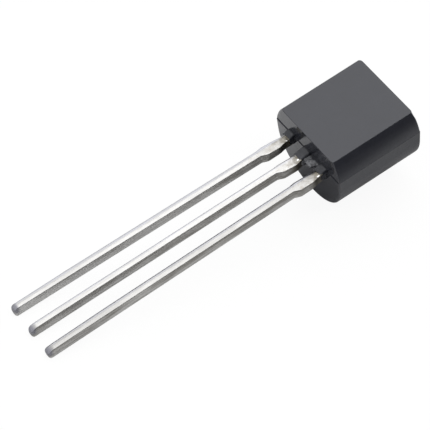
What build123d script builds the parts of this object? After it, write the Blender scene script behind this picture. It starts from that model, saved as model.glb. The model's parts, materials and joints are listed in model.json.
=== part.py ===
# Three-lead transistor in a moulded D-shaped plastic case, lying flat face up on a table.
# It rests on the back edge of the lead end and on the three lead tips.
# All sizes are millimetres. X runs along the leads towards the case, Z is up, Y is across the lead row.

import os
from math import asin, atan2, cos, hypot, radians, sin, tan

from build123d import *

# Moulded case
case_width = 4.58  # at the parting plane, where the two mould halves met
case_height = 4.39  # from the lead end to the far end, at the parting plane
flat_width = 3.70
flat_to_leads = 1.26  # from the flat face back to the middle of the leads
parting_height = 0.19  # from the middle of the leads out to the parting plane, near their front faces
wall_bow = 0.075  # how far the front side walls bulge
straight_wall = 0.48  # wall behind the middle of the leads, before the round back begins
wall_draft = 2.0  # degrees, straight walls behind the parting plane
front_draft = 1.2  # degrees, end faces in front of the parting plane
back_draft = 0.3  # degrees, end faces behind the parting plane
parting_step = 0.03  # how far the back half stands proud of the front half, all round
case_edge_radius = 0.06

# Leads, stamped from one sheet and trimmed apart after moulding
lead_pitch = 1.27
lead_length = 14.50  # free length outside the case
lead_width = 0.40
lead_thickness = 0.48
lead_tip_radius = 0.12
neck_width = 0.45
neck_length = 0.45
flare_length = 0.45
shoulder_width = 0.62  # where the bar that joined the leads was cut away
shoulder_length = 0.45
taper_length = 0.40

# Inner ends of the leads, buried in the plastic
head_depth = 0.75  # plastic between the lead end of the case and the heads
head_length = 0.70
head_gap = 0.30
flag_gap = 0.35
flag_length = 1.45
flag_width = 2.30

# Silicon die, its solder and its bond wires
die_side = 0.50
die_thickness = 0.20
attach_thickness = 0.02
bond_pad_offset = 0.13  # from the middle of the die, along both of its sides
wire_diameter = 0.05
wire_rise = 0.30  # top of the wire loop above the die
wire_bend = 0.15

# Profile of the case, seen along the leads
half_width = case_width / 2
half_front = half_width - parting_step
wall_foot = half_width - (parting_height + straight_wall) * tan(radians(wall_draft))
wall_heading = (sin(radians(wall_draft)), -cos(radians(wall_draft)))
back_radius = wall_foot / cos(radians(wall_draft))
back_depth = straight_wall + back_radius * (1 - sin(radians(wall_draft)))
front_setback = parting_step + (flat_to_leads - parting_height) * tan(radians(front_draft))
back_setback = (parting_height + back_depth) * tan(radians(back_draft))

# Round edges that meet the table or mark the ends, as places along the leads and out from the lead plane
edge_reach = case_edge_radius / cos(radians(back_draft))
edge_out = case_edge_radius - back_depth
edge_setback = (parting_height - edge_out) * tan(radians(back_draft)) + edge_reach
far_edge_along = case_height - edge_setback
tip_along = lead_tip_radius - lead_length
tip_out = lead_thickness / 2 - lead_tip_radius

# The case is tipped until its back edge and the lead tips touch the table together
rest_run = edge_setback - tip_along
rest_drop = edge_out + tip_out
rest_turn = asin((case_edge_radius - lead_tip_radius) / hypot(rest_run, rest_drop))
rest_tilt = rest_turn - atan2(rest_drop, rest_run)
along = (cos(rest_tilt), 0, sin(rest_tilt))
outward = (-sin(rest_tilt), 0, cos(rest_tilt))
lowest = edge_setback * sin(rest_tilt) + edge_out * cos(rest_tilt) - case_edge_radius
far_reach = far_edge_along * cos(rest_tilt) - edge_out * sin(rest_tilt) + case_edge_radius
tip_reach = tip_along * cos(rest_tilt) - tip_out * sin(rest_tilt) - lead_tip_radius
lead_exit = (-(far_reach + tip_reach) / 2, 0, -lowest)

# Planes through the middle of the lead exits
lead_plane = Plane(origin=lead_exit, x_dir=along, z_dir=outward)
section_plane = Plane(origin=lead_exit, x_dir=(0, 1, 0), z_dir=along)
side_plane = Plane(origin=lead_exit, x_dir=along, z_dir=(0, -1, 0))
lead_axis = Axis(lead_exit, along)
out_axis = Axis(lead_exit, outward)

# Places on the inner ends of the leads
lead_face = lead_thickness / 2
head_width = lead_pitch - head_gap
head_middle = head_depth + head_length / 2
flag_start = head_depth + head_length + flag_gap
flag_middle = flag_start + flag_length / 2
flag_across = flag_width / 2 - lead_pitch - head_width / 2
die_base = lead_face + attach_thickness
die_top = die_base + die_thickness
wire_top = die_top + wire_rise


def trimmed_lead(across, buried_middle, buried_across, buried_length, buried_width):
    """Make one lead: its free shank with the cut shoulder, and the plate buried at its inner end."""
    widths = [
        (-lead_length, lead_width / 2),
        (-(neck_length + flare_length + shoulder_length + taper_length), lead_width / 2),
        (-(neck_length + flare_length + shoulder_length), shoulder_width / 2),
        (-(neck_length + flare_length), shoulder_width / 2),
        (-neck_length, neck_width / 2),
        (buried_middle, neck_width / 2),
    ]
    right_edge = [(place, across - half) for place, half in widths]
    left_edge = [(place, across + half) for place, half in reversed(widths)]
    with BuildPart() as lead:
        with BuildSketch(lead_plane):
            Polygon(*right_edge, *left_edge, align=None)
            with Locations((buried_middle, buried_across)):
                Rectangle(buried_length, buried_width)
        extrude(amount=lead_face, both=True)
        fillet(lead.faces().sort_by(lead_axis)[0].edges(), radius=lead_tip_radius)
    return lead


# The emitter and base leads end in bonding heads, the collector lead in the flag that carries the die
emitter_lead = trimmed_lead(lead_pitch, head_middle, lead_pitch, head_length, head_width)
base_lead = trimmed_lead(0, head_middle, 0, head_length, head_width)
collector_lead = trimmed_lead(-lead_pitch, flag_middle, flag_across, flag_length, flag_width)

# Solder between the flag and the die
with BuildPart() as die_attach:
    with BuildSketch(lead_plane.offset(lead_face)):
        with Locations((flag_middle, flag_across)):
            Rectangle(die_side, die_side)
    extrude(amount=attach_thickness)

# Silicon die
with BuildPart() as silicon_die:
    with BuildSketch(lead_plane.offset(die_base)):
        with Locations((flag_middle, flag_across)):
            Rectangle(die_side, die_side)
    extrude(amount=die_thickness)


def bond_wire(pad_offset, head_across):
    """Make one bond wire, from its pad on the die up and over to a lead's head."""
    pad = (flag_middle + pad_offset, flag_across + pad_offset)
    head = (head_middle, head_across)
    corners = [(*pad, die_top), (*pad, wire_top), (*head, wire_top), (*head, lead_face)]
    with BuildPart() as wire:
        with BuildLine(lead_plane) as path:
            FilletPolyline(*corners, radius=wire_bend)
        with BuildSketch(Plane(origin=path.line @ 0, z_dir=path.line % 0)):
            Circle(wire_diameter / 2)
        sweep(path=path.line)
    return wire


base_bond_wire = bond_wire(-bond_pad_offset, 0)
emitter_bond_wire = bond_wire(bond_pad_offset, lead_pitch)

# Node names of the pieces that the case is moulded round
inner_pieces = {
    "emitter_lead": emitter_lead,
    "base_lead": base_lead,
    "collector_lead": collector_lead,
    "silicon_die": silicon_die,
    "die_attach": die_attach,
    "base_bond_wire": base_bond_wire,
    "emitter_bond_wire": emitter_bond_wire,
}

# Front half of the moulding: bowed walls from the parting plane to the flat, and drafted ends
with BuildPart() as front_half:
    with BuildSketch(section_plane):
        with BuildLine():
            Line((half_front, parting_height), (-half_front, parting_height))
            SagittaArc((-half_front, parting_height), (-flat_width / 2, flat_to_leads), wall_bow)
            Line((-flat_width / 2, flat_to_leads), (flat_width / 2, flat_to_leads))
            SagittaArc((flat_width / 2, flat_to_leads), (half_front, parting_height), wall_bow)
        make_face()
    extrude(amount=case_height)
    with BuildSketch(side_plane):
        with BuildLine():
            Polyline(
                (parting_step, parting_height),
                (case_height - parting_step, parting_height),
                (case_height - front_setback, flat_to_leads),
                (front_setback, flat_to_leads),
                close=True,
            )
        make_face()
    extrude(amount=case_width, both=True, mode=Mode.INTERSECT)
    parting_edges = front_half.faces().sort_by(out_axis)[0].edges()
    fillet(front_half.edges() - parting_edges, radius=case_edge_radius)

# Back half: straight drafted walls that run into the round back
with BuildPart() as back_half:
    with BuildSketch(section_plane):
        with BuildLine():
            Line((wall_foot, -straight_wall), (half_width, parting_height))
            Line((half_width, parting_height), (-half_width, parting_height))
            Line((-half_width, parting_height), (-wall_foot, -straight_wall))
            TangentArc((-wall_foot, -straight_wall), (wall_foot, -straight_wall), tangent=wall_heading)
        make_face()
    extrude(amount=case_height)
    with BuildSketch(side_plane):
        with BuildLine():
            Polyline(
                (0, parting_height),
                (case_height, parting_height),
                (case_height - back_setback, -back_depth),
                (back_setback, -back_depth),
                close=True,
            )
        make_face()
    extrude(amount=case_width, both=True, mode=Mode.INTERSECT)
    parting_edges = back_half.faces().sort_by(out_axis)[-1].edges()
    seams = back_half.edges().filter_by(lead_axis)
    fillet(back_half.edges() - parting_edges - seams, radius=case_edge_radius)

# Case: both halves in one moulding, with room for the pieces inside it
with BuildPart() as moulded_case:
    add(front_half.part)
    add(back_half.part)
    for buried in inner_pieces.values():
        add(buried.part, mode=Mode.SUBTRACT)

os.makedirs("parts", exist_ok=True)
for name, piece in {"moulded_case": moulded_case, **inner_pieces}.items():
    piece.part.label = name
    export_step(piece.part, f"parts/{name}.step")
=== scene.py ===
import json
import math

import bpy
from mathutils import Matrix, Quaternion, Vector


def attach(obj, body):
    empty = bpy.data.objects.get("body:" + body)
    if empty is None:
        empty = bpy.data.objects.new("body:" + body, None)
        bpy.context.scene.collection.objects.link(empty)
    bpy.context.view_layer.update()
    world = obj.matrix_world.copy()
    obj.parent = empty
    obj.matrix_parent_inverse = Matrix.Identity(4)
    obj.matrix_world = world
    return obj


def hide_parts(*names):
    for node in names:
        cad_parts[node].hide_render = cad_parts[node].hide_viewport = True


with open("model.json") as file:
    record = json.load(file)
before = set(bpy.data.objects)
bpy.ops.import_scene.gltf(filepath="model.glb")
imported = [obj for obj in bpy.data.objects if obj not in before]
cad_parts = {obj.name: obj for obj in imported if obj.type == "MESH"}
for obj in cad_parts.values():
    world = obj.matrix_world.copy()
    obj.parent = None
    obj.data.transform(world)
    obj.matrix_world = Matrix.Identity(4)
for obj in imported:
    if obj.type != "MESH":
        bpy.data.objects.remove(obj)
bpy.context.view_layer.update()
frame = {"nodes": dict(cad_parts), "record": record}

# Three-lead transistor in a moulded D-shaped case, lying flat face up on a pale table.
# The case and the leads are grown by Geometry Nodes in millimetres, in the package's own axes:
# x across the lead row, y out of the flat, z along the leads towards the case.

millimetre = 0.001
white = (1, 1, 1, 1)
print("frame loaded:", ", ".join(sorted(frame["nodes"])))

# Package axes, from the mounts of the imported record
mounts = {mount["name"]: mount for mount in frame["record"]["mounts"]}
leadExit = Vector(mounts["lead_row"]["pos_m"])
alongAxis = -Vector(mounts["lead_row"]["axis"]).normalized()
outAxis = Vector(mounts["flat"]["axis"]).normalized()
acrossAxis = outAxis.cross(alongAxis)
packageTurn = Matrix((acrossAxis, outAxis, alongAxis)).transposed().to_4x4()
packageMatrix = Matrix.Translation(leadExit) @ packageTurn @ Matrix.Scale(millimetre, 4)


# Small helpers for node trees
def feed(tree, socket, value):
    if isinstance(value, bpy.types.NodeSocket):
        tree.links.new(value, socket)
    else:
        socket.default_value = value


def addNode(tree, kind, feeds=None, **settings):
    made = tree.nodes.new(kind)
    for name, value in settings.items():
        setattr(made, name, value)
    for name, value in (feeds or {}).items():
        feed(tree, made.inputs[name], value)
    return made


def calc(tree, operation, *values):
    return addNode(tree, "ShaderNodeMath", dict(enumerate(values)), operation=operation).outputs[0]


def plus(tree, total, *others):
    for other in others:
        total = calc(tree, "ADD", total, other)
    return total


def minus(tree, first, second):
    return calc(tree, "SUBTRACT", first, second)


def times(tree, product, *others):
    for other in others:
        product = calc(tree, "MULTIPLY", product, other)
    return product


def vectorCalc(tree, operation, *values):
    return addNode(tree, "ShaderNodeVectorMath", dict(enumerate(values)), operation=operation).outputs[0]


def ramp(tree, value, start, end, low=0.0, high=1.0, style="LINEAR"):
    feeds = {0: value, 1: start, 2: end, 3: low, 4: high}
    return addNode(tree, "ShaderNodeMapRange", feeds, interpolation_type=style).outputs[0]


def spot(tree, x, y, z=0.0):
    return addNode(tree, "ShaderNodeCombineXYZ", {0: x, 1: y, 2: z}).outputs[0]


def parts(tree, vector):
    return addNode(tree, "ShaderNodeSeparateXYZ", {0: vector}).outputs


def noise(tree, vector, scale, detail=2.0, rough=0.5, distortion=0.0):
    feeds = {"Vector": vector, "Scale": scale, "Detail": detail}
    feeds.update({"Roughness": rough, "Distortion": distortion})
    return addNode(tree, "ShaderNodeTexNoise", feeds).outputs[0]


def stretchedNoise(tree, vector, stretch, *settings):
    return noise(tree, vectorCalc(tree, "MULTIPLY", vector, stretch), *settings)


# Helpers for shapes
def newTree(name, sizes, counts):
    tree = bpy.data.node_groups.new(name, "GeometryNodeTree")
    tree.interface.new_socket("Geometry", in_out="OUTPUT", socket_type="NodeSocketGeometry")
    for label in sizes:
        tree.interface.new_socket(label, in_out="INPUT", socket_type="NodeSocketFloat")
    for label in counts:
        tree.interface.new_socket(label, in_out="INPUT", socket_type="NodeSocketInt")
    tree.interface.new_socket("Material", in_out="INPUT", socket_type="NodeSocketMaterial")
    given = tree.nodes.new("NodeGroupInput").outputs
    return tree, given


def position(tree):
    return addNode(tree, "GeometryNodeInputPosition").outputs[0]


def activeValue(sockets):
    return [socket for socket in sockets if socket.name == "Value" and socket.enabled][0]


def unitGrid(tree, columns, rows):
    # Grid of one unit each way, with each point's share of both ways
    feeds = {"Size X": 1.0, "Size Y": 1.0, "Vertices X": columns, "Vertices Y": rows}
    grid = addNode(tree, "GeometryNodeMeshGrid", feeds).outputs[0]
    cell = parts(tree, position(tree))
    return grid, plus(tree, cell[0], 0.5), plus(tree, cell[1], 0.5)


def keep(tree, mesh, name, value, kind="FLOAT"):
    feeds = {"Geometry": mesh, "Name": name}
    made = addNode(tree, "GeometryNodeStoreNamedAttribute", feeds, data_type=kind)
    feed(tree, activeValue(made.inputs), value)
    return made.outputs[0]


def moved(tree, mesh, how, value):
    # How is Position for new places, or Offset for a push
    return addNode(tree, "GeometryNodeSetPosition", {"Geometry": mesh, how: value}).outputs[0]


def welded(tree, mesh, distance):
    feeds = {"Geometry": mesh, "Distance": distance}
    return addNode(tree, "GeometryNodeMergeByDistance", feeds).outputs[0]


def smoothed(tree, mesh):
    feeds = {"Geometry": mesh, "Shade Smooth": True}
    return addNode(tree, "GeometryNodeSetShadeSmooth", feeds).outputs[0]


def endTree(tree, mesh, material):
    whole = addNode(tree, "GeometryNodeRealizeInstances", {0: mesh}).outputs[0]
    feeds = {"Geometry": whole, "Material": material}
    coated = addNode(tree, "GeometryNodeSetMaterial", feeds).outputs[0]
    tree.links.new(coated, tree.nodes.new("NodeGroupOutput").inputs[0])


def grow(name, tree, values, finish=None):
    # Runs a tree on an empty object, then keeps the result as a plain mesh in the shared frame
    thing = bpy.data.objects.new(name, bpy.data.meshes.new(name))
    bpy.context.scene.collection.objects.link(thing)
    shaper = thing.modifiers.new("shape", "NODES")
    shaper.node_group = tree
    for item in tree.interface.items_tree:
        if item.in_out == "INPUT":
            shaper[item.identifier] = values[item.name]
    if finish:
        finish(thing)
    depsgraph = bpy.context.evaluated_depsgraph_get()
    grown = bpy.data.meshes.new_from_object(thing.evaluated_get(depsgraph), depsgraph=depsgraph)
    thing.modifiers.clear()
    grown.transform(packageMatrix)
    thing.data = grown
    grown.name = name
    print(name, "grown:", len(grown.vertices), "points,", len(grown.polygons), "faces")
    return thing


# Helpers for materials
def newMaterial(name):
    material = bpy.data.materials.new(name)
    material.use_nodes = True
    tree = material.node_tree
    return material, tree, tree.nodes["Principled BSDF"]


def stored(tree, name, output="Fac"):
    return addNode(tree, "ShaderNodeAttribute", attribute_name=name).outputs[output]


def mixColour(tree, share, first, second):
    made = addNode(tree, "ShaderNodeMix", data_type="RGBA", blend_type="MIX")
    feed(tree, made.inputs[0], share)
    feed(tree, made.inputs[6], first)
    feed(tree, made.inputs[7], second)
    return made.outputs[2]


def bump(tree, height, distance, onto=None):
    made = addNode(tree, "ShaderNodeBump", {"Height": height, "Distance": distance, "Strength": 1.0})
    if onto:
        feed(tree, made.inputs["Normal"], onto)
    return made.outputs[0]


# Camera, at the photograph's angle
cameraLook = {
    "azimuth": -37.784,
    "elevation": 50.181,
    "roll": 3.509,
    "distance": 0.109385,
    "target": (-0.00024763, -0.00023042, 0.00200768),
    "lens": 214.245,
    "sensor": 36.0,
    "nearest": 0.001,
    "farthest": 10.0,
}


def makeCamera(look):
    sideways = math.radians(look["azimuth"])
    above = math.radians(look["elevation"])
    back = Vector((
        math.sin(sideways) * math.cos(above),
        -math.cos(sideways) * math.cos(above),
        math.sin(above),
    ))
    data = bpy.data.cameras.new("camera")
    data.sensor_width = look["sensor"]
    data.lens = look["lens"]
    data.clip_start = look["nearest"]
    data.clip_end = look["farthest"]
    camera = bpy.data.objects.new("camera", data)
    camera.rotation_mode = "QUATERNION"
    camera.location = Vector(look["target"]) + back * look["distance"]
    rolled = Quaternion((0, 0, 1), math.radians(look["roll"]))
    camera.rotation_quaternion = (-back).to_track_quat("-Z", "Y") @ rolled
    bpy.context.scene.collection.objects.link(camera)
    bpy.context.scene.camera = camera


makeCamera(cameraLook)
print("camera placed")

# Moulded epoxy of the case. A noise is its scale per mm, detail, roughness and distortion.
epoxyLook = {
    "dark": (0.029, 0.0305, 0.039, 1),
    "pale": (0.037, 0.0385, 0.049, 1),
    "sheen": (0.955, 0.967, 1.0, 1),  # slightly blue reflections
    "smooth": 0.12,
    "dull": 0.20,
    "refraction": 1.55,
    "flow": (0.9, 3.0, 0.55, 0.6),  # broad clouds
    "filler": (42.0, 3.0, 0.6),  # fine grain
    "skin": (14.0, 4.0, 0.6),
    "flowShare": 0.6,
    "fillerShare": 0.4,
    "fillerRelief": 0.5,
    "clouds": (0.3, 0.7),  # levels of noise at which a range starts and ends
    "grain": 0.0010,  # height of the grain, mm
    "broken": (0.30, 0.305, 0.325, 1),  # resin that was broken off between two leads
    "brokenAcross": (-0.62, 0.26, 0.40),  # middle of that web, and where its edge starts and ends
    "brokenOut": (-0.02, -0.08),  # how far outside the lead end it starts
    "chips": (7.0, 3.0, 0.6, 0.8),
    "chipLevels": (0.42, 0.62),
    "brokenGrain": 0.012,
}


def makeEpoxy(look):
    material, tree, shader = newMaterial("mouldedEpoxy")
    place = stored(tree, "caseSpot", "Vector")
    flow = noise(tree, place, *look["flow"])
    filler = noise(tree, place, *look["filler"])
    tint = plus(tree, times(tree, flow, look["flowShare"]), times(tree, filler, look["fillerShare"]))
    base = mixColour(tree, ramp(tree, tint, *look["clouds"]), look["dark"], look["pale"])

    # Broken resin outside the lead end
    here = parts(tree, place)
    middle, start, end = look["brokenAcross"]
    offMiddle = calc(tree, "ABSOLUTE", minus(tree, here[0], middle))
    outside = ramp(tree, here[2], *look["brokenOut"])
    chips = noise(tree, place, *look["chips"])
    web = times(tree, outside, ramp(tree, offMiddle, end, start))
    web = times(tree, web, ramp(tree, chips, *look["chipLevels"]))
    base = mixColour(tree, web, base, look["broken"])
    feed(tree, shader.inputs["Base Color"], base)
    dulling = ramp(tree, flow, *look["clouds"], look["smooth"], look["dull"])
    feed(tree, shader.inputs["Roughness"], dulling)
    shader.inputs["IOR"].default_value = look["refraction"]
    shader.inputs["Specular Tint"].default_value = look["sheen"]
    skin = plus(tree, noise(tree, place, *look["skin"]), times(tree, filler, look["fillerRelief"]))
    smooth = bump(tree, skin, look["grain"] * millimetre)
    chipped = bump(tree, times(tree, chips, outside), look["brokenGrain"] * millimetre, smooth)
    feed(tree, shader.inputs["Normal"], chipped)
    return material


mouldedEpoxy = makeEpoxy(epoxyLook)

# Case: two rounded mould halves, joined at a small parting ledge. Sizes in mm, drafts in degrees.
caseSizes = {
    "Case Width": 4.58,
    "Case Height": 4.39,
    "Flat Width": 3.70,
    "Flat To Leads": 1.2545,
    "Parting Height": 0.19,  # from the middle of the leads out to the parting plane
    "Wall Bow": 0.075,
    "Straight Wall": 0.48,
    "Wall Draft": 2.0,
    "Front Draft": 1.2,  # lead end, in front of the parting plane and behind it
    "Back Draft": 0.3,
    "Front Far Draft": 2.5,  # far end
    "Back Far Draft": 1.33,
    "Lead End Step": 0.03,  # ledge at the parting plane, at the lead end
    "Far End Step": 0.005,
    "Far End Reach": 0.05,  # how far the far end bulges at the parting plane
    "Side Step": 0.005,
    "Flat Edge Radius": 0.05,  # along both sides of the flat
    "Front Lead End Radius": 0.02,
    "Front Far End Radius": 0.088,
    "Back Edge Radius": 0.069,
    "Corner Fall": 0.06,  # how far the ends fall back at the corners of the flat
    "Corner Reach": 0.14,  # how far from the corner that begins
    "Far Corner Depth": 0.35,  # how far behind the flat that goes, at the far end
    "Seating": 0.06,  # how far the front half reaches into the back half before they are joined
    "Lead Pitch": 1.27,
    "Emitter Resin": 0.27,  # how far resin ran out along each lead
    "Base Resin": 0.52,
    "Collector Resin": 0.34,
    "Web Resin": 0.42,  # thin web left between the base and collector leads
    "Resin Unevenness": 0.05,
    "Front Middle": 0.65,  # where the end faces of each half are closed
    "Back Middle": -0.90,
}
caseCounts = {"Arc Points": 24, "Line Points": 61, "Edge Rings": 8, "Cap Rings": 6, "Length Rings": 12}
caseDetail = {
    "capShare": 0.86,  # size of the innermost ring across an end face
    "flatShare": 0.97,  # share of the flat's width that gets points of its own
    "cornerSlack": 0.0005,  # mm, for finding the corners of the flat
    "cornerPoints": 7,
    "backShare": 5.0,  # how many times the points of a front wall go round the back
    "weld": 0.0004,  # mm
    "sharpAngle": 32,  # degrees
}
# Each lump of resin: its place in the lead row, its shift across and its level,
# then its half sizes across and out, at the case and at its outer end
resinShapes = {
    "Emitter Resin": (1.0, -0.08, 0.0, (0.265, 0.33), (0.262, 0.246)),
    "Base Resin": (0.0, -0.01, 0.0, (0.285, 0.36), (0.275, 0.246)),
    "Collector Resin": (-1.0, 0.08, 0.0, (0.27, 0.33), (0.265, 0.246)),
    "Web Resin": (0.0, -0.48, 0.17, (0.50, 0.075), (0.32, 0.045)),
}
resinDetail = {
    "rings": 16,
    "points": 48,
    "square": 0.4,  # lower is squarer
    "straight": 0.15,  # share of the length before the lump narrows
    "inside": 0.06,  # mm that it starts inside the case
    "breaks": 5.0,  # scale of its unevenness
    "breakShares": (2.0, 0.6, 4.0),  # across, out and along
    "breakFrom": (0.0, -0.15),
}


def tangentOf(tree, degrees):
    return calc(tree, "TANGENT", calc(tree, "RADIANS", degrees))


def outlineCurve(tree, curves, middle):
    # One closed outline through the points of the given curves, in order round the middle
    joined = addNode(tree, "GeometryNodeJoinGeometry")
    for curve in curves:
        tree.links.new(curve, joined.inputs[0])
    feeds = {0: joined.outputs[0]}
    dots = addNode(tree, "GeometryNodeCurveToPoints", feeds, mode="EVALUATED").outputs[0]
    here = parts(tree, position(tree))
    turn = calc(tree, "ARCTAN2", minus(tree, here[1], middle), here[0])
    line = addNode(tree, "GeometryNodePointsToCurves", {"Points": dots, "Weight": turn}).outputs[0]
    return addNode(tree, "GeometryNodeSetSplineCyclic", {"Geometry": line, "Cyclic": True}).outputs[0]


def arcThrough(tree, start, middle, end, count):
    feeds = {"Start": start, "Middle": middle, "End": end, "Resolution": count}
    return addNode(tree, "GeometryNodeCurveArc", feeds, mode="POINTS").outputs[0]


def dottedLine(tree, reach, level, count):
    # Straight line of evenly spread points from one side of the case to the other
    feeds = {"Start": spot(tree, reach, level), "End": spot(tree, times(tree, reach, -1.0), level)}
    line = addNode(tree, "GeometryNodeCurvePrimitiveLine", feeds).outputs[0]
    feeds = {"Curve": line, "Count": count}
    return addNode(tree, "GeometryNodeResampleCurve", feeds, mode="COUNT").outputs[0]


def sampleOutline(tree, outline, step, value):
    feeds = {"Geometry": outline, "Index": step}
    made = addNode(tree, "GeometryNodeSampleIndex", feeds, data_type="FLOAT_VECTOR")
    feed(tree, activeValue(made.inputs), value)
    return parts(tree, activeValue(made.outputs))


def roundedHalf(tree, outline, given, half):
    # Rings of the outline along the case, drawn in round both ends and closed by rings across the end faces
    size = addNode(tree, "GeometryNodeAttributeDomainSize", {0: outline}, component="CURVE")
    count = size.outputs["Point Count"]
    capEnd = plus(tree, given["Cap Rings"], 1.0)
    endRings = plus(tree, capEnd, given["Edge Rings"])
    rings = plus(tree, times(tree, endRings, 2.0), given["Length Rings"])
    grid, far, around = unitGrid(tree, plus(tree, rings, 1.0), plus(tree, count, 1.0))
    ring = calc(tree, "ROUND", times(tree, far, rings))
    step = calc(tree, "ROUND", times(tree, around, count))
    step = calc(tree, "MODULO", step, count)

    # Outward side of the outline; the parting side is never drawn in
    edge = sampleOutline(tree, outline, step, position(tree))
    heading = sampleOutline(tree, outline, step, addNode(tree, "GeometryNodeInputTangent").outputs[0])
    limit = "MAXIMUM" if half["facing"] > 0 else "MINIMUM"
    faceY = calc(tree, limit, times(tree, heading[0], -1.0), 0.0)
    face = parts(tree, vectorCalc(tree, "NORMALIZE", spot(tree, heading[1], faceY)))

    # Rings near an end: the first is shrunk to a point, the next cross the end face, the rest go round
    fromEnd = minus(tree, rings, ring)
    near = calc(tree, "MINIMUM", ring, fromEnd)
    toFar = minus(tree, ring, fromEnd)
    radius = ramp(tree, toFar, -0.5, 0.5, *half["radii"])
    shrunk = ramp(tree, near, 1.0, capEnd, caseDetail["capShare"], 1.0)
    shrunk = times(tree, shrunk, calc(tree, "GREATER_THAN", near, 0.5))

    # Upright corners of the flat, which fall back at the ends
    aside = calc(tree, "ABSOLUTE", edge[0])
    corner = calc(tree, "MAXIMUM", aside, half["corner"])
    gap = minus(tree, corner, times(tree, aside, shrunk))
    nearness = ramp(tree, gap, 0.0, given["Corner Reach"], 1.0, 0.0)
    atFar = calc(tree, "GREATER_THAN", ring, fromEnd)
    cornerFrom = plus(tree, given["Parting Height"], times(tree, atFar, half["farCorner"]))
    deepest = times(tree, given["Corner Fall"], ramp(tree, edge[1], cornerFrom, given["Flat To Leads"]))
    steep = calc(tree, "DIVIDE", times(tree, deepest, 2.0), given["Corner Reach"])
    firstTurn = calc(tree, "ARCTANGENT", times(tree, steep, nearness))
    turn = ramp(tree, near, capEnd, endRings, firstTurn, math.pi / 2)
    drawn = times(tree, radius, minus(tree, 1.0, calc(tree, "SINE", turn)))
    raised = times(tree, radius, calc(tree, "COSINE", turn))
    middle = half["middle"]
    x = times(tree, minus(tree, edge[0], times(tree, face[0], drawn)), shrunk)
    y = minus(tree, edge[1], times(tree, face[1], drawn))
    y = plus(tree, middle, times(tree, minus(tree, y, middle), shrunk))

    # Places along the case, with the draft of the ends
    depth = times(tree, minus(tree, y, given["Parting Height"]), half["facing"])
    fall = times(tree, deepest, calc(tree, "POWER", nearness, 2.0))
    within = plus(tree, radius, fall)
    ends = []
    for slope, setback in zip(half["slopes"], half["setbacks"]):
        leaned = plus(tree, times(tree, depth, slope), setback)
        ends.append(plus(tree, within, leaned))
    low = ends[0]
    high = minus(tree, given["Case Height"], ends[1])
    share = ramp(tree, minus(tree, ring, endRings), 0.0, given["Length Rings"])
    z = plus(tree, low, times(tree, minus(tree, high, low), share))
    z = plus(tree, z, times(tree, raised, calc(tree, "SIGN", toFar)))
    return welded(tree, moved(tree, grid, "Position", spot(tree, x, y, z)), caseDetail["weld"])


def resinLump(tree, given, name, shape):
    # Closed lump of resin that starts inside the case and runs out along the leads
    place, shift, level, root, end = shape
    points = resinDetail["points"]
    lastRing = resinDetail["rings"] - 1.0
    grid, far, around = unitGrid(tree, resinDetail["rings"], points + 1)
    ring = times(tree, far, lastRing)
    step = calc(tree, "ROUND", times(tree, around, points))
    turn = times(tree, calc(tree, "MODULO", step, points), 2 * math.pi / points)
    share = ramp(tree, ring, 1.0, lastRing - 1.0)
    opened = times(tree, ramp(tree, ring, 0.0, 1.0), ramp(tree, ring, lastRing, lastRing - 1.0))
    sides = []
    for wave, first, last in zip(("COSINE", "SINE"), root, end):
        along = calc(tree, wave, turn)
        square = calc(tree, "POWER", calc(tree, "ABSOLUTE", along), resinDetail["square"])
        square = times(tree, square, calc(tree, "SIGN", along), opened)
        sides.append(times(tree, square, ramp(tree, share, resinDetail["straight"], 1.0, first, last)))
    middle = times(tree, given["Lead Pitch"], place)
    x = plus(tree, middle, shift, sides[0])
    y = plus(tree, sides[1], level)
    z = ramp(tree, share, 0.0, 1.0, resinDetail["inside"], times(tree, given[name], -1.0))
    mesh = welded(tree, moved(tree, grid, "Position", spot(tree, x, y, z)), caseDetail["weld"])

    # Uneven outside the case, as it was broken off
    here = position(tree)
    feeds = {"Vector": here, "Scale": resinDetail["breaks"], "Detail": 2.0}
    broken = addNode(tree, "ShaderNodeTexNoise", feeds).outputs["Color"]
    broken = parts(tree, vectorCalc(tree, "SUBTRACT", broken, (0.5, 0.5, 0.5)))
    outside = ramp(tree, parts(tree, here)[2], *resinDetail["breakFrom"])
    rough = times(tree, given["Resin Unevenness"], outside)
    push = [times(tree, value, rough, much) for value, much in zip(broken, resinDetail["breakShares"])]
    return moved(tree, mesh, "Offset", spot(tree, *push))


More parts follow.
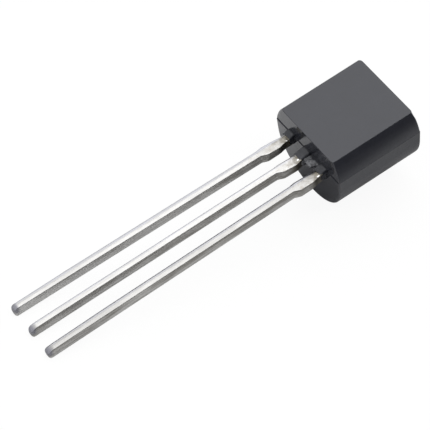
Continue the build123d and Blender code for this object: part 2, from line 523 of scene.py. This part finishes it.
def makeCaseTree():
    tree, given = newTree("caseShape", caseSizes, caseCounts)
    arcPoints = given["Arc Points"]
    linePoints = given["Line Points"]
    halfWidth = times(tree, given["Case Width"], 0.5)
    halfFront = minus(tree, halfWidth, given["Side Step"])
    halfFlat = times(tree, given["Flat Width"], 0.5)
    depth = given["Flat To Leads"]
    parting = given["Parting Height"]

    # Front outline: bowed walls up to the flat
    lean = minus(tree, halfFront, halfFlat)
    rise = minus(tree, depth, parting)
    wall = calc(tree, "SQRT", plus(tree, times(tree, lean, lean), times(tree, rise, rise)))
    bow = calc(tree, "DIVIDE", given["Wall Bow"], wall)
    midX = times(tree, plus(tree, halfFront, halfFlat), 0.5)
    midX = plus(tree, midX, times(tree, bow, rise))
    midY = times(tree, plus(tree, depth, parting), 0.5)
    midY = plus(tree, midY, times(tree, bow, lean))
    curves = []
    for side in (1.0, -1.0):
        xs = [times(tree, value, side) for value in (halfFront, midX, halfFlat)]
        ends = [spot(tree, x, y) for x, y in zip(xs, (parting, midY, depth))]
        curves.append(arcThrough(tree, *ends, arcPoints))
    curves.append(dottedLine(tree, times(tree, halfFlat, caseDetail["flatShare"]), depth, linePoints))
    curves.append(dottedLine(tree, halfFront, minus(tree, parting, given["Seating"]), 2))
    front = outlineCurve(tree, curves, given["Front Middle"])
    here = parts(tree, position(tree))
    slack = caseDetail["cornerSlack"]
    aside = calc(tree, "ABSOLUTE", here[0])
    onFlat = calc(tree, "GREATER_THAN", here[1], minus(tree, depth, slack))
    outermost = calc(tree, "GREATER_THAN", aside, minus(tree, halfFlat, slack))
    radius = times(tree, onFlat, outermost, given["Flat Edge Radius"])
    feeds = {"Curve": front, "Count": caseDetail["cornerPoints"], "Radius": radius}
    front = addNode(tree, "GeometryNodeFilletCurve", feeds, mode="POLY").outputs[0]

    # Back outline: straight drafted walls that run into the round back
    draft = calc(tree, "RADIANS", given["Wall Draft"])
    drop = plus(tree, parting, given["Straight Wall"])
    foot = minus(tree, halfWidth, times(tree, drop, calc(tree, "TANGENT", draft)))
    backRadius = calc(tree, "DIVIDE", foot, calc(tree, "COSINE", draft))
    sag = times(tree, backRadius, minus(tree, 1.0, calc(tree, "SINE", draft)))
    footY = times(tree, given["Straight Wall"], -1.0)
    start = spot(tree, foot, footY)
    deepest = spot(tree, 0.0, minus(tree, footY, sag))
    end = spot(tree, times(tree, foot, -1.0), footY)
    curves = [arcThrough(tree, start, deepest, end, times(tree, arcPoints, caseDetail["backShare"]))]
    curves.append(dottedLine(tree, halfWidth, parting, linePoints))
    back = outlineCurve(tree, curves, given["Back Middle"])

    farReach = given["Far End Reach"]
    frontHalf = roundedHalf(tree, front, given, {
        "facing": 1.0,
        "middle": given["Front Middle"],
        "corner": halfFlat,
        "radii": (given["Front Lead End Radius"], given["Front Far End Radius"]),
        "farCorner": minus(tree, rise, given["Far Corner Depth"]),
        "setbacks": (given["Lead End Step"], minus(tree, given["Far End Step"], farReach)),
        "slopes": [tangentOf(tree, given[name]) for name in ("Front Draft", "Front Far Draft")],
    })
    backHalf = roundedHalf(tree, back, given, {
        "facing": -1.0,
        "middle": given["Back Middle"],
        "corner": foot,
        "radii": (given["Back Edge Radius"], given["Back Edge Radius"]),
        "farCorner": 0.0,
        "setbacks": (0.0, times(tree, farReach, -1.0)),
        "slopes": [tangentOf(tree, given[name]) for name in ("Back Draft", "Back Far Draft")],
    })
    joined = addNode(tree, "GeometryNodeMeshBoolean", operation="UNION", solver="MANIFOLD")
    lumps = [resinLump(tree, given, name, shape) for name, shape in resinShapes.items()]
    for piece in (frontHalf, backHalf, *lumps):
        tree.links.new(piece, joined.inputs["Mesh 2"])
    whole = smoothed(tree, keep(tree, joined.outputs[0], "caseSpot", position(tree), "FLOAT_VECTOR"))
    bend = addNode(tree, "GeometryNodeInputMeshEdgeAngle").outputs[0]
    sharp = calc(tree, "GREATER_THAN", bend, math.radians(caseDetail["sharpAngle"]))
    feeds = {"Geometry": whole, "Selection": sharp, "Shade Smooth": False}
    whole = addNode(tree, "GeometryNodeSetShadeSmooth", feeds, domain="EDGE").outputs[0]
    endTree(tree, whole, given["Material"])
    return tree


def flattenNormals(thing):
    even = thing.modifiers.new("even", "WEIGHTED_NORMAL")
    even.keep_sharp = True


caseValues = {**caseSizes, **caseCounts, "Material": mouldedEpoxy}
case = grow("case", makeCaseTree(), caseValues, flattenNormals)
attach(case, "root")
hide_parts("moulded_case")

# Tin on the leads: bright on the rolled faces, duller on the cut sides, dark at the cropped tips.
# Noises as for the case, some with a stretch before them. Places in mm, out from the case.
tinLook = {
    "bright": (0.57, 0.565, 0.555, 1),
    "grey": (0.44, 0.435, 0.425, 1),
    "sidePale": (0.62, 0.615, 0.60, 1),
    "sideDark": (0.30, 0.29, 0.27, 1),
    "fleck": (0.33, 0.30, 0.26, 1),
    # darker colour of a patch on each shoulder
    "dull": (0.22, 0.21, 0.192, 1),
    "paintedEdgeSheen": (0.60, 0.605, 0.655, 1),  # painted sheen along the rounded left edge
    # dark colour at the roots: flux stain, and painted shade near the case
    "root": (0.13, 0.115, 0.085, 1),
    "tip": (0.31, 0.31, 0.345, 1),
    "glint": (0.97, 0.97, 0.95, 1),
    "drawn": ((11.0, 11.0, 0.45), 1.0, 2.0, 0.5),  # lines along the lead
    "cloud": ((2.0, 2.0, 0.8), 1.0, 3.0, 0.55),
    "mottle": ((1.0, 1.0, 0.6), 5.0, 2.5, 0.5, 0.5),
    "flecks": (5.5, 3.0, 0.5, 0.3),
    "glintSpots": (6.0, 1.0),
    "shoulderStart": (0.10, 0.45),
    "shoulderEnd": (3.0, 1.4),
    "topTone": (0.5, 0.16),  # middle and strength of a lead's own tone
    "topLevels": (0.40, 0.60),
    "fleckShares": (0.06, 0.45),  # on the shank, and added on the shoulder
    "fleckLevels": (0.48, 0.66),
    "darkPatchPlace": (1.9, 0.7),
    "darkPatchShares": (0.6, 0.6),  # on the left, and towards the case
    "darkPatchMottle": (0.38, 0.56, 0.35, 1.0),
    "edgeSheenPlace": (0.62, 0.95),
    "edgeSheenStreaks": (0.35, 0.60, 0.6, 1.0),
    "streakShares": (0.6, 0.4),
    # middle and strength of the painted shade on the cut sides
    "sidePaintedShade": (0.35, 0.30),
    "sideShadeFall": (0.22, -0.20, -0.06, 0.11),  # painted shade, paler towards the back
    "sideLevels": (0.36, 0.64),
    "rootStainAndShadeShares": (0.30, 0.5),  # how much further the root's stain and painted shade go on the sides and at flecks
    "rootStainAndShadeFade": (0.15, -0.25, 0.0, 0.85),
    "glintLevels": (0.50, 0.58),
    "glintPlace": (0.17, 0.10),
    "tipMottle": 0.3,
    "tipLevels": (0.35, 0.85),
    "tipFront": (-0.13, 0.03),
    "roughness": (0.3, 0.7, 0.22, 0.34),
    "sideRoughness": 0.12,
    "tipRoughness": 0.15,
    "lineHeight": 0.0000008,  # m
    "mottleHeight": 0.0000045,
    "shankMottle": 0.15,
}


def makeTin(look):
    material, tree, shader = newMaterial("dippedTin")
    place = stored(tree, "leadSpot", "Vector")
    side = stored(tree, "cutSide")
    leftSide = stored(tree, "leftSide")
    fromResin = stored(tree, "fromResin")
    level, out = parts(tree, place)[1:]
    drawn = stretchedNoise(tree, place, *look["drawn"])
    cloud = stretchedNoise(tree, place, *look["cloud"])
    mottle = stretchedNoise(tree, place, *look["mottle"])
    fleck = noise(tree, place, *look["flecks"])
    onShoulder = ramp(tree, out, *look["shoulderStart"])
    onShoulder = times(tree, onShoulder, ramp(tree, out, *look["shoulderEnd"]))

    # Rolled faces, with darker flecks where the bar was cut away
    shade = times(tree, plus(tree, drawn, cloud, mottle), 1 / 3)
    toneMiddle, toneShare = look["topTone"]
    shade = plus(tree, shade, times(tree, minus(tree, stored(tree, "topTone"), toneMiddle), toneShare))
    base = mixColour(tree, ramp(tree, shade, *look["topLevels"]), look["grey"], look["bright"])
    onShank, added = look["fleckShares"]
    flecked = plus(tree, onShank, times(tree, onShoulder, added))
    flecked = times(tree, ramp(tree, fleck, *look["fleckLevels"]), flecked)
    base = mixColour(tree, flecked, base, look["fleck"])

    # Darker patch on each shoulder, strongest on its left and towards the case, and a pale painted sheen
    # along the left edge
    inward = ramp(tree, out, *look["darkPatchPlace"])
    leftShare, inwardShare = look["darkPatchShares"]
    darkerPatch = plus(tree, times(tree, leftSide, leftShare), times(tree, inward, inwardShare))
    darkerPatch = times(tree, calc(tree, "MINIMUM", darkerPatch, 1.0), inward)
    darkerPatch = times(tree, darkerPatch, ramp(tree, mottle, *look["darkPatchMottle"]))
    base = mixColour(tree, darkerPatch, base, look["dull"])
    # Painted sheen along the rounded left edge, streaked along the lead
    paintedEdgeSheen = times(tree, ramp(tree, leftSide, *look["edgeSheenPlace"]), ramp(tree, drawn, *look["edgeSheenStreaks"]))
    base = mixColour(tree, paintedEdgeSheen, base, look["paintedEdgeSheen"])

    # Cut sides, streaked along the lead, with painted shade: darker towards the case and paler towards the
    # back
    drawnShare, cloudShare = look["streakShares"]
    streak = plus(tree, times(tree, drawn, drawnShare), times(tree, cloud, cloudShare))
    toneMiddle, toneShare = look["sidePaintedShade"]
    streak = plus(tree, streak, times(tree, minus(tree, stored(tree, "sidePaintedShade"), toneMiddle), toneShare))
    streak = plus(tree, streak, ramp(tree, level, *look["sideShadeFall"]))
    sides = mixColour(tree, ramp(tree, streak, *look["sideLevels"]), look["sideDark"], look["sidePale"])
    onRight = minus(tree, 1.0, leftSide)
    base = mixColour(tree, times(tree, side, onRight), base, sides)

    # Roots darkened by flux stain and by painted shade near the case, small painted glints there, and
    # cropped tips
    sideShare, fleckShare = look["rootStainAndShadeShares"]
    rootStainAndShade = minus(tree, fromResin, times(tree, side, sideShare))
    rootStainAndShade = minus(tree, rootStainAndShade, times(tree, fleck, fleckShare))
    base = mixColour(tree, ramp(tree, rootStainAndShade, *look["rootStainAndShadeFade"]), base, look["root"])
    # Painted glints: near-white spots on the tops just past the resin
    paintedGlint = ramp(tree, noise(tree, place, *look["glintSpots"]), *look["glintLevels"])
    paintedGlint = times(tree, paintedGlint, ramp(tree, fromResin, *look["glintPlace"]), minus(tree, 1.0, side))
    base = mixColour(tree, paintedGlint, base, look["glint"])
    cropped = plus(tree, stored(tree, "tipEnd"), times(tree, mottle, look["tipMottle"]))
    cropped = ramp(tree, cropped, *look["tipLevels"])
    cropped = times(tree, cropped, ramp(tree, level, *look["tipFront"]))
    base = mixColour(tree, cropped, base, look["tip"])
    feed(tree, shader.inputs["Base Color"], base)
    shader.inputs["Metallic"].default_value = 1.0
    dull = ramp(tree, mottle, *look["roughness"])
    dull = plus(tree, dull, times(tree, side, look["sideRoughness"]))
    dull = plus(tree, dull, times(tree, cropped, look["tipRoughness"]))
    feed(tree, shader.inputs["Roughness"], dull)
    lines = bump(tree, drawn, look["lineHeight"])
    rough = times(tree, mottle, plus(tree, look["shankMottle"], onShoulder))
    feed(tree, shader.inputs["Normal"], bump(tree, rough, look["mottleHeight"], lines))
    return material


dippedTin = makeTin(tinLook)

# Leads, stamped and trimmed, with the plate that is buried in the case. Sizes in mm, out from the case.
leadSizes = {
    "Length": 14.517,
    "Width": 0.40,
    "Thickness": 0.48,
    "Left Neck": 0.215,  # half widths, to the left and right of the middle of the lead
    "Right Neck": 0.255,
    "Neck Length": 0.40,
    "Flare Length": 0.50,
    "Left Shoulder": 0.240,
    "Right Shoulder": 0.330,
    "Shoulder Length": 0.50,
    "Taper Length": 0.35,
    "Trim Delay": 0.24,  # how much further out the cut side of the shoulder ends
    "Trim Length": 0.12,
    "Trim Step": 0.20,  # share of the cut side's width that ends in a step
    "Tip Side Radius": 0.15,
    "Tip Heel Radius": 0.14,
    "Cut Edge": 13.0,  # higher is squarer
    "Unevenness": 0.006,
    "Root Lumps": 0.030,  # solder gathered where the lead enters the case
}
leadCounts = {"Rings": 300, "Points Round": 56}
leadNames = ("emitter", "base", "collector")
# Sizes of these three leads, in that order
leadRow = {
    "Across": (1.27, 0.0, -1.27),
    "Plate Start": (0.75, 0.75, 1.80),
    "Plate End": (1.45, 1.45, 3.25),
    "Plate Left": (0.485, 0.485, 1.815),
    "Plate Right": (0.485, 0.485, 0.485),
    "Left Spread": (0.09, 0.0, 0.07),  # added to the left of the shank
    "Side Lean": (0.045, 0.05, 0.03),
    "Shank Shift": (-0.02, 0.04, -0.005),
    "Root Shift": (-0.08, -0.01, 0.08),
    "Tip Shift": (0.055, -0.06, -0.07),
    "Resin": (0.27, 0.52, 0.34),
    "Rolled Edge": (1.9, 3.2, 1.9),  # higher is squarer
    "Tip Radius": (0.16, 0.24, 0.24),
    "Tip Reach": (0.24, 0.38, 0.38),
    "Tip Slant": (0.06, 0.04, 0.0),
    "Top Tone": (1.0, 1.0, 0.2),
    # painted shade of each lead's cut side, paler out towards the tip
    "Side Painted Shade": (1.0, 0.3, 0.45),
    "Seed": (3.0, 11.0, 23.0),
}
leadDetail = {
    "ringShares": (0.20, 0.50, 0.80),  # where the rings leave the plate, the shoulder and the shank
    "shankDelay": 0.3,
    "tipSpan": 0.5,
    "plateEdge": 0.02,
    "spreadFade": (3.0, 0.5),  # distance from the tip, and what is left of the spread there
    "sideLevels": (0.955, 0.985),
    "croppedSpan": (0.38, 0.05),  # from the tip
    "leftEdge": 0.12,
    "splaySpan": (-0.6, 0.0),
    "shankSpan": (0.6, 2.0),
    "weld": 0.0002,
    "wave": ((1.6, 1.6, 0.9), 1.0, 3.0, 0.55),
    "waveMiddle": 0.62,
    "waveSpan": (0.0, 0.1),
    "lumps": (7.0, 2.0, 0.5),
    "lumpMiddle": 0.5,
    "lumpStart": (-0.15, 0.0),  # past the resin
    "lumpEnd": (0.30, 0.08),
}


def roundedBy(tree, out, length, radius, reach):
    # How much a half width loses on its way round the tip
    beyond = ramp(tree, out, minus(tree, length, reach), length)
    left = calc(tree, "SQRT", minus(tree, 1.0, times(tree, beyond, beyond)))
    return times(tree, radius, minus(tree, 1.0, left))


def pick(tree, which, first, second):
    # The first value where which is 1, the second where it is 0
    return plus(tree, second, times(tree, which, minus(tree, first, second)))


def makeLeadTree(detail):
    tree, given = newTree("leadShape", [*leadSizes, *leadRow], leadCounts)
    length = given["Length"]
    grid, far, around = unitGrid(tree, given["Rings"], plus(tree, given["Points Round"], 1.0))
    turn = times(tree, around, 2 * math.pi)

    # First and last rings close the ends; the others are spread so that the shoulder and tip get most
    gap = calc(tree, "DIVIDE", 1.0, minus(tree, given["Rings"], 1.0))
    lastGap = minus(tree, 1.0, gap)
    opened = times(tree, ramp(tree, far, 0.0, gap), ramp(tree, far, 1.0, lastGap))
    opened = calc(tree, "GREATER_THAN", opened, 0.5)
    spread = ramp(tree, far, gap, lastGap)
    shoulderStart = plus(tree, given["Neck Length"], given["Flare Length"])
    shoulderEnd = plus(tree, shoulderStart, given["Shoulder Length"])
    taperEnd = plus(tree, shoulderEnd, given["Taper Length"])
    shankStart = plus(tree, taperEnd, detail["shankDelay"])
    tipStart = minus(tree, length, detail["tipSpan"])
    starts = (0.0, *detail["ringShares"])
    ends = (*detail["ringShares"], 1.0)
    spans = (given["Plate End"], shankStart, minus(tree, tipStart, shankStart), detail["tipSpan"])
    out = times(tree, given["Plate End"], -1.0)
    for start, end, span in zip(starts, ends, spans):
        out = plus(tree, out, ramp(tree, spread, start, end, 0.0, span))

    # Half widths on both sides of the lead, from the plate out to the tip
    shankHalf = times(tree, given["Width"], 0.5)
    cutLeft = minus(tree, given["Left Shoulder"], shankHalf)
    cutRight = minus(tree, given["Right Shoulder"], shankHalf)
    plateStart = times(tree, given["Plate Start"], -1.0)
    plateEdge = detail["plateEdge"]
    onPlate = ramp(tree, out, plus(tree, plateStart, plateEdge), minus(tree, plateStart, plateEdge))
    trimStart = plus(tree, shoulderEnd, given["Trim Delay"])
    trimEnd = plus(tree, trimStart, given["Trim Length"])
    stepped = times(tree, cutRight, given["Trim Step"])
    tapered = minus(tree, cutRight, stepped)
    trimmed = ramp(tree, out, trimStart, trimEnd, 0.0, stepped, "SMOOTHSTEP")
    lessLeft = ramp(tree, out, shoulderEnd, taperEnd, 0.0, cutLeft, "SMOOTHSTEP")
    lessRight = ramp(tree, out, shoulderEnd, taperEnd, 0.0, tapered, "SMOOTHSTEP")
    lessRight = plus(tree, lessRight, trimmed)
    halves = []
    for side, less in (("Left", lessLeft), ("Right", lessRight)):
        neck = given[side + " Neck"]
        shoulder = given[side + " Shoulder"]
        half = ramp(tree, out, given["Neck Length"], shoulderStart, neck, shoulder, "SMOOTHSTEP")
        grownBy = times(tree, minus(tree, given["Plate " + side], neck), onPlate)
        halves.append(plus(tree, minus(tree, half, less), grownBy))
    fadeFrom, fadeTo = detail["spreadFade"]
    spreadLeft = times(tree, given["Left Spread"], ramp(tree, out, given["Neck Length"], shoulderEnd))
    nearTip = ramp(tree, out, minus(tree, length, fadeFrom), length, 1.0, fadeTo)
    halves[0] = plus(tree, halves[0], times(tree, spreadLeft, nearTip))

    # Section: a squared ellipse, with a softer edge on one side than on the other
    cosine = calc(tree, "COSINE", turn)
    sine = calc(tree, "SINE", turn)
    onLeft = calc(tree, "GREATER_THAN", cosine, 0.0)
    power = calc(tree, "DIVIDE", 2.0, pick(tree, onLeft, given["Rolled Edge"], given["Cut Edge"]))
    shapeX = calc(tree, "POWER", calc(tree, "ABSOLUTE", cosine), power)
    shapeY = calc(tree, "POWER", calc(tree, "ABSOLUTE", sine), power)
    half = pick(tree, onLeft, *halves)
    halfThick = times(tree, given["Thickness"], 0.5)

    # Rounded tip, set back towards its front face where it was cropped at a slant
    sideLoss, topLoss, heelLoss = [
        roundedBy(tree, out, length, given[radius], given[reach])
        for radius, reach in (
            ("Tip Side Radius", "Tip Side Radius"),
            ("Tip Radius", "Tip Reach"),
            ("Tip Heel Radius", "Tip Heel Radius"),
        )
    ]
    half = minus(tree, half, sideLoss)
    upward = calc(tree, "SIGN", sine)
    thick = minus(tree, halfThick, ramp(tree, upward, -1.0, 1.0, heelLoss, topLoss))
    x = times(tree, shapeX, calc(tree, "SIGN", cosine), half, opened)
    y = times(tree, shapeY, upward, thick, opened)
    fromTip = minus(tree, length, out)
    front = ramp(tree, y, times(tree, halfThick, -1.0), halfThick)
    slanted = times(tree, given["Tip Slant"], front, ramp(tree, fromTip, detail["tipSpan"], 0.0))
    out = minus(tree, out, slanted)

    # What the tin needs to know about each place
    sideFrom, sideTo = detail["sideLevels"]
    cutSide = times(tree, ramp(tree, shapeX, sideFrom, sideTo), ramp(tree, shapeY, sideTo, sideFrom))
    leadSpot = spot(tree, plus(tree, x, given["Seed"]), y, out)
    facts = {
        "cutSide": cutSide,
        "topTone": given["Top Tone"],
        # painted shade of the cut side, none at the case and growing out to the tip
        "sidePaintedShade": times(tree, given["Side Painted Shade"], ramp(tree, out, 0.0, length)),
        "tipEnd": ramp(tree, fromTip, *detail["croppedSpan"]),
        "fromResin": minus(tree, out, given["Resin"]),
        "leftSide": ramp(tree, x, -detail["leftEdge"], detail["leftEdge"]),
    }
    mesh = keep(tree, grid, "leadSpot", leadSpot, "FLOAT_VECTOR")
    for name, value in facts.items():
        mesh = keep(tree, mesh, name, value)

    # Splay of the leads; the cut side of the shank leans in towards its front face
    splay = ramp(tree, out, 0.0, length, given["Root Shift"], given["Tip Shift"])
    splay = times(tree, splay, ramp(tree, out, *detail["splaySpan"]))
    onShank = ramp(tree, out, *detail["shankSpan"], style="SMOOTHSTEP")
    splay = plus(tree, splay, times(tree, onShank, given["Shank Shift"]))
    lean = times(tree, given["Side Lean"], onShank, front)
    lean = times(tree, lean, ramp(tree, x, 0.0, times(tree, shankHalf, -1.0)))
    splay = plus(tree, splay, lean)
    across = plus(tree, x, given["Across"], splay)
    place = spot(tree, across, y, times(tree, out, -1.0))
    mesh = welded(tree, moved(tree, mesh, "Position", place), detail["weld"])

    # Slight unevenness of the dipped surface, and small lumps of solder at the case
    feeds = {"Name": "leadSpot"}
    kept = addNode(tree, "GeometryNodeInputNamedAttribute", feeds, data_type="FLOAT_VECTOR").outputs[0]
    away = parts(tree, kept)[2]
    wave = stretchedNoise(tree, kept, *detail["wave"])
    lift = times(tree, minus(tree, wave, detail["waveMiddle"]), given["Unevenness"])
    lift = times(tree, lift, ramp(tree, away, *detail["waveSpan"]))
    lump = minus(tree, noise(tree, kept, *detail["lumps"]), detail["lumpMiddle"])
    pastResin = minus(tree, away, given["Resin"])
    lumpy = ramp(tree, pastResin, *detail["lumpStart"])
    lumpy = times(tree, lumpy, ramp(tree, pastResin, *detail["lumpEnd"]), given["Root Lumps"])
    lift = plus(tree, lift, times(tree, lump, lumpy))
    feeds = {0: addNode(tree, "GeometryNodeInputNormal").outputs[0], "Scale": lift}
    push = addNode(tree, "ShaderNodeVectorMath", feeds, operation="SCALE").outputs[0]
    endTree(tree, smoothed(tree, moved(tree, mesh, "Offset", push)), given["Material"])
    return tree


leadTree = makeLeadTree(leadDetail)
for index, leadName in enumerate(leadNames):
    leadValues = {**leadSizes, **leadCounts, "Material": dippedTin}
    leadValues.update({name: values[index] for name, values in leadRow.items()})
    lead = grow(leadName + "Lead", leadTree, leadValues)
    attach(lead, "root")
    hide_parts(leadName + "_lead")

# Chip, its solder and its bond wires, inside the case: dark and pale colour, metal, range of roughness
chipLook = {
    "silicon": ((0.10, 0.11, 0.13, 1), (0.19, 0.20, 0.22, 1), 0.0, (0.10, 0.25)),
    "solder": ((0.42, 0.42, 0.43, 1), (0.62, 0.62, 0.61, 1), 1.0, (0.30, 0.50)),
    "goldWire": ((0.80, 0.54, 0.16, 1), (0.95, 0.70, 0.28, 1), 1.0, (0.15, 0.30)),
}
chipGrain = {
    "noise": ((1000.0, 1000.0, 1000.0), 14.0, 4.0, 0.6),  # stretched from metres to mm
    "colourLevels": (0.35, 0.65),
    "roughLevels": (0.3, 0.7),
    "height": 0.000003,
}
chipNodes = {
    "silicon_die": "silicon",
    "die_attach": "solder",
    "base_bond_wire": "goldWire",
    "emitter_bond_wire": "goldWire",
}


def makeChipFinish(name, look):
    dark, pale, metal, rough = look
    material, tree, shader = newMaterial(name)
    place = addNode(tree, "ShaderNodeTexCoord").outputs["Object"]
    grain = stretchedNoise(tree, place, *chipGrain["noise"])
    colour = mixColour(tree, ramp(tree, grain, *chipGrain["colourLevels"]), dark, pale)
    feed(tree, shader.inputs["Base Color"], colour)
    feed(tree, shader.inputs["Roughness"], ramp(tree, grain, *chipGrain["roughLevels"], *rough))
    feed(tree, shader.inputs["Normal"], bump(tree, grain, chipGrain["height"]))
    shader.inputs["Metallic"].default_value = metal
    return material


chipFinishes = {name: makeChipFinish(name, look) for name, look in chipLook.items()}
for nodeName, finishName in chipNodes.items():
    for slot in frame["nodes"][nodeName].material_slots:
        slot.material = chipFinishes[finishName]
print("chip, solder and bond wires finished")

# Table top, white to the camera, with the object's own soft shadow.
# In reflections it is a pale card that darkens towards the front. Places in metres.
tableLook = {
    "size": 4.0,
    "colour": (0.80, 0.80, 0.80, 1),
    "shadowed": (0.12, 0.12, 0.12, 1),  # the part of the floor's white that the object can shade
    "white": 0.92,
    "cardColour": (0.95, 0.95, 0.95, 1),
    "dark": (0.05, 0.05, 0.05, 1),
    "cardEdge": 0.0025,  # towards the front, where the card begins to darken
    "cardTurn": (0.89, 0.39),  # direction that the next two go by
    "cardSpan": (0.0035, 0.0080),  # along the case, from its lead end to its far end
    "cardReach": (0.038, 0.110),  # towards the front, where the card is dark, at those two ends
    "cardPower": 6.0,  # higher darkens sooner
    "underCase": 0.55,  # how much darker the card is under the far end
    "underFront": (0.007, 0.003),
    "underBack": (0.0015, 0.0005),
    "contact": (0.0046, 0.0),  # where the case stands on the table
    "contactShade": 0.30,
    "contactSize": (0.0022, 0.0006),
    "glow": 0.16,  # small glow of the card behind the case
    "glowBack": (0.0012, 0.0035),
    "glowAlong": (0.0030, 0.0040),
    "sideGlow": 0.14,  # and in front of it
    "sideGlowFront": (-0.0020, -0.0032),
}


def makeTable(look):
    half = look["size"] / 2
    corners = [(-half, -half, 0), (half, -half, 0), (half, half, 0), (-half, half, 0)]
    mesh = bpy.data.meshes.new("table")
    mesh.from_pydata(corners, [], [(0, 1, 2, 3)])
    table = bpy.data.objects.new("table", mesh)
    bpy.context.scene.collection.objects.link(table)
    material, tree = newMaterial("tableTop")[:2]
    tree.nodes.clear()
    path = addNode(tree, "ShaderNodeLightPath").outputs
    lit = addNode(tree, "ShaderNodeBsdfDiffuse", {"Color": look["colour"]}).outputs[0]
    shade = addNode(tree, "ShaderNodeBsdfDiffuse", {"Color": look["shadowed"]}).outputs[0]
    glow = addNode(tree, "ShaderNodeEmission", {"Color": white, "Strength": look["white"]}).outputs[0]
    seen = addNode(tree, "ShaderNodeAddShader", {0: shade, 1: glow}).outputs[0]

    # Card in reflections: dark far in front, shaded under the case and where the case stands
    here = parts(tree, addNode(tree, "ShaderNodeTexCoord").outputs["Object"])
    before = times(tree, here[1], -1.0)
    turnX, turnY = look["cardTurn"]
    along = plus(tree, times(tree, here[0], turnX), times(tree, here[1], turnY))
    reach = ramp(tree, along, *look["cardSpan"], *look["cardReach"])
    share = ramp(tree, before, look["cardEdge"], reach, 1.0, 0.0)
    share = calc(tree, "POWER", share, look["cardPower"])
    under = times(tree, ramp(tree, along, *look["cardSpan"]), ramp(tree, before, *look["underFront"]))
    under = times(tree, under, ramp(tree, here[1], *look["underBack"]))
    under = minus(tree, 1.0, times(tree, under, look["underCase"]))
    offX = minus(tree, here[0], look["contact"][0])
    offY = minus(tree, here[1], look["contact"][1])
    off = calc(tree, "SQRT", plus(tree, times(tree, offX, offX), times(tree, offY, offY)))
    touch = ramp(tree, off, *look["contactSize"], 0.0, look["contactShade"], "SMOOTHSTEP")
    share = times(tree, share, under, minus(tree, 1.0, touch))
    card = mixColour(tree, share, look["dark"], look["cardColour"])
    echo = addNode(tree, "ShaderNodeBsdfDiffuse", {"Color": card}).outputs[0]
    glowing = ramp(tree, here[1], *look["glowBack"], 0.0, look["glow"])
    glowing = times(tree, glowing, ramp(tree, here[0], *look["glowAlong"]))
    glowing = plus(tree, glowing, ramp(tree, here[1], *look["sideGlowFront"], 0.0, look["sideGlow"]))
    soft = addNode(tree, "ShaderNodeEmission", {"Color": white, "Strength": glowing}).outputs[0]
    echo = addNode(tree, "ShaderNodeAddShader", {0: echo, 1: soft}).outputs[0]
    looked = calc(tree, "MAXIMUM", path["Is Camera Ray"], path["Is Transmission Ray"])
    first = addNode(tree, "ShaderNodeMixShader", {0: path["Is Glossy Ray"], 1: lit, 2: echo}).outputs[0]
    whole = addNode(tree, "ShaderNodeMixShader", {0: looked, 1: first, 2: seen}).outputs[0]
    tree.links.new(whole, tree.nodes.new("ShaderNodeOutputMaterial").inputs[0])
    mesh.materials.append(material)
    return table


makeTable(tableLook)

# Soft studio light: one large overhead panel, a weak one behind, a small fill, and a pale room
lampLook = {
    "over": {"toward": (0.34, 0.30, 0.89), "distance": 0.30, "size": 0.30, "power": 0.27},
    "behind": {"toward": (0.38, 0.83, 0.41), "distance": 0.30, "size": 0.24, "power": 0.035},
    "fill": {"toward": (0.35, -0.45, 0.82), "distance": 0.30, "size": 0.14, "power": 0.16},
}
lampTarget = Vector((0, 0, 0.002))
# The room is white in reflections, and darkens towards the front
roomLook = {"light": 0.46, "dark": 0.05, "edge": (-0.10, -0.60), "left": 0.35, "leftEdge": (-0.5, -0.8)}


def makeLamp(name, look):
    data = bpy.data.lights.new(name, "AREA")
    data.shape = "SQUARE"
    data.size = look["size"]
    data.energy = look["power"]
    lamp = bpy.data.objects.new(name, data)
    toward = Vector(look["toward"]).normalized()
    lamp.location = lampTarget + toward * look["distance"]
    lamp.rotation_mode = "QUATERNION"
    lamp.rotation_quaternion = toward.to_track_quat("Z", "Y")
    bpy.context.scene.collection.objects.link(lamp)


for lampName, look in lampLook.items():
    makeLamp(lampName, look)


def makeRoom(look):
    world = bpy.data.worlds.new("room")
    world.use_nodes = True
    tree = world.node_tree
    tree.nodes.clear()
    path = addNode(tree, "ShaderNodeLightPath").outputs
    seen = calc(tree, "MAXIMUM", path["Is Camera Ray"], path["Is Transmission Ray"])
    toward = parts(tree, addNode(tree, "ShaderNodeTexCoord").outputs["Generated"])
    level = ramp(tree, toward[1], *look["edge"], look["light"], look["dark"], "SMOOTHSTEP")
    level = plus(tree, level, ramp(tree, toward[0], *look["leftEdge"], 0.0, look["left"]))
    mirrored = ramp(tree, toward[1], *look["edge"], 1.0, look["dark"], "SMOOTHSTEP")
    level = pick(tree, path["Is Glossy Ray"], mirrored, level)
    dim = addNode(tree, "ShaderNodeBackground", {"Color": white, "Strength": level}).outputs[0]
    bright = addNode(tree, "ShaderNodeBackground", {"Color": white, "Strength": 1.0}).outputs[0]
    whole = addNode(tree, "ShaderNodeMixShader", {0: seen, 1: dim, 2: bright}).outputs[0]
    tree.links.new(whole, tree.nodes.new("ShaderNodeOutputWorld").inputs[0])
    bpy.context.scene.world = world


makeRoom(roomLook)
bpy.context.scene.view_settings.view_transform = "Standard"
print("table and light ready")
